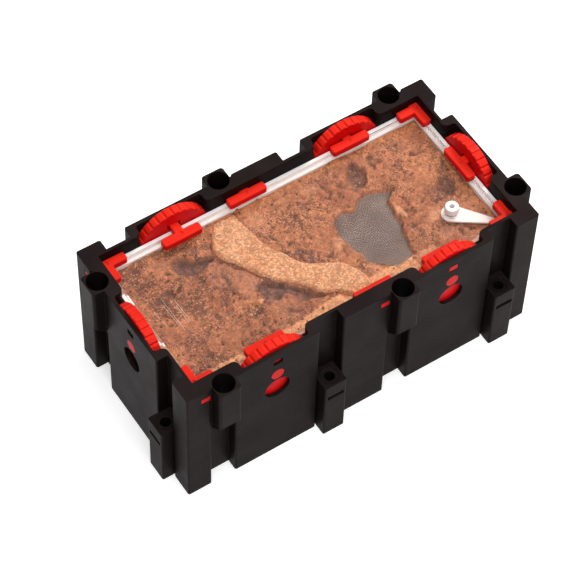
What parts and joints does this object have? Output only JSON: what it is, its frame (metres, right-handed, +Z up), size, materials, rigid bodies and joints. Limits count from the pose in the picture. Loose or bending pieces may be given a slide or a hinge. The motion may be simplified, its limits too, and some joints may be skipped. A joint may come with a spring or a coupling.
{
  "type": "ant habitat",
  "caption": "Walled ant habitat module with a clear lid over a soil landscape, port dials, sliding lid clips and side lugs.",
  "frame": {"origin": "bottom centre of the habitat's bounding box, on the plane it rests on", "axes": "+X along the long side towards the end with the watering tube, -Y towards the front long side with the watering tube, +Z up"},
  "size_m": [0.2122, 0.1122, 0.0864],
  "materials": {
    "black_plastic": "moulded matt",
    "red_plastic": "moulded satin",
    "white_plastic": "moulded satin",
    "clear_plastic": "clear, lightly scratched",
    "soil": "rough, granular",
    "sand": "rough, granular",
    "steel_mesh": "fine woven"
  },
  "bodies": {
    "habitat": {"outer_frame": "black_plastic", "inner_box": "white_plastic", "lid_panel": "clear_plastic", "soil_block": "soil", "sand_path": "sand", "mesh_sheet": "steel_mesh", "water_tube": "white_plastic", "water_channel": "white_plastic"},
    "dial_front_left": {"dial_front_left": "red_plastic"},
    "dial_front_right": {"dial_front_right": "red_plastic"},
    "dial_right": {"dial_right": "red_plastic"},
    "dial_back_right": {"dial_back_right": "red_plastic"},
    "dial_back_left": {"dial_back_left": "red_plastic"},
    "dial_left": {"dial_left": "red_plastic"},
    "dial_clip_front_left": {"dial_clip_front_left": "red_plastic"},
    "dial_clip_front_right": {"dial_clip_front_right": "red_plastic"},
    "dial_clip_right": {"dial_clip_right": "red_plastic"},
    "dial_clip_back_right": {"dial_clip_back_right": "red_plastic"},
    "dial_clip_back_left": {"dial_clip_back_left": "red_plastic"},
    "edge_clip_front": {"edge_clip_front": "red_plastic"},
    "edge_clip_back": {"edge_clip_back": "red_plastic"},
    "corner_clip_front_left": {"corner_clip_front_left": "red_plastic"},
    "corner_clip_front_right": {"corner_clip_front_right": "red_plastic"},
    "corner_clip_back_right": {"corner_clip_back_right": "red_plastic"},
    "corner_clip_back_left": {"corner_clip_back_left": "red_plastic"}
  },
  "joints": [
    {"name": "dial_front_left_turn", "type": "hinge", "parent": "habitat", "child": "dial_front_left", "pos_m": [-0.05, -0.04525, 0.0664], "axis": [0, -1, 0], "range_deg": [-5, 5]},
    {"name": "dial_front_right_turn", "type": "hinge", "parent": "habitat", "child": "dial_front_right", "pos_m": [0.05, -0.04525, 0.0664], "axis": [0, -1, 0], "range_deg": [-5, 5]},
    {"name": "dial_right_turn", "type": "hinge", "parent": "habitat", "child": "dial_right", "pos_m": [0.09525, 0, 0.0664], "axis": [1, 0, 0], "range_deg": [-5, 5]},
    {"name": "dial_back_right_turn", "type": "hinge", "parent": "habitat", "child": "dial_back_right", "pos_m": [0.05, 0.04525, 0.0664], "axis": [0, 1, 0], "range_deg": [-5, 5]},
    {"name": "dial_back_left_turn", "type": "hinge", "parent": "habitat", "child": "dial_back_left", "pos_m": [-0.05, 0.04525, 0.0664], "axis": [0, 1, 0], "range_deg": [-5, 5]},
    {"name": "dial_left_turn", "type": "hinge", "parent": "habitat", "child": "dial_left", "pos_m": [-0.09525, 0, 0.0664], "axis": [-1, 0, 0], "continuous": true},
    {"name": "dial_clip_front_left_slide", "type": "slide", "parent": "habitat", "child": "dial_clip_front_left", "axis": [0, 1, 0], "range_m": [-0.0012, 0.0064]},
    {"name": "dial_clip_front_right_slide", "type": "slide", "parent": "habitat", "child": "dial_clip_front_right", "axis": [0, 1, 0], "range_m": [0, 0.0076]},
    {"name": "dial_clip_right_slide", "type": "slide", "parent": "habitat", "child": "dial_clip_right", "axis": [-1, 0, 0], "range_m": [-0.001, 0.0066]},
    {"name": "dial_clip_back_right_slide", "type": "slide", "parent": "habitat", "child": "dial_clip_back_right", "axis": [0, -1, 0], "range_m": [0, 0.0076]},
    {"name": "dial_clip_back_left_slide", "type": "slide", "parent": "habitat", "child": "dial_clip_back_left", "axis": [0, -1, 0], "range_m": [-0.0042, 0.0034]},
    {"name": "edge_clip_front_slide", "type": "slide", "parent": "habitat", "child": "edge_clip_front", "axis": [0, 1, 0], "range_m": [0, 0.0076]},
    {"name": "edge_clip_back_slide", "type": "slide", "parent": "habitat", "child": "edge_clip_back", "axis": [0, -1, 0], "range_m": [0, 0.0076]},
    {"name": "corner_clip_front_left_slide", "type": "slide", "parent": "habitat", "child": "corner_clip_front_left", "axis": [0, 1, 0], "range_m": [0, 0.0076]},
    {"name": "corner_clip_front_right_slide", "type": "slide", "parent": "habitat", "child": "corner_clip_front_right", "axis": [-1, 0, 0], "range_m": [0, 0.0076]},
    {"name": "corner_clip_back_right_slide", "type": "slide", "parent": "habitat", "child": "corner_clip_back_right", "axis": [0, -1, 0], "range_m": [0, 0.0076]},
    {"name": "corner_clip_back_left_slide", "type": "slide", "parent": "habitat", "child": "corner_clip_back_left", "axis": [1, 0, 0], "range_m": [0, 0.0076]}
  ]
}
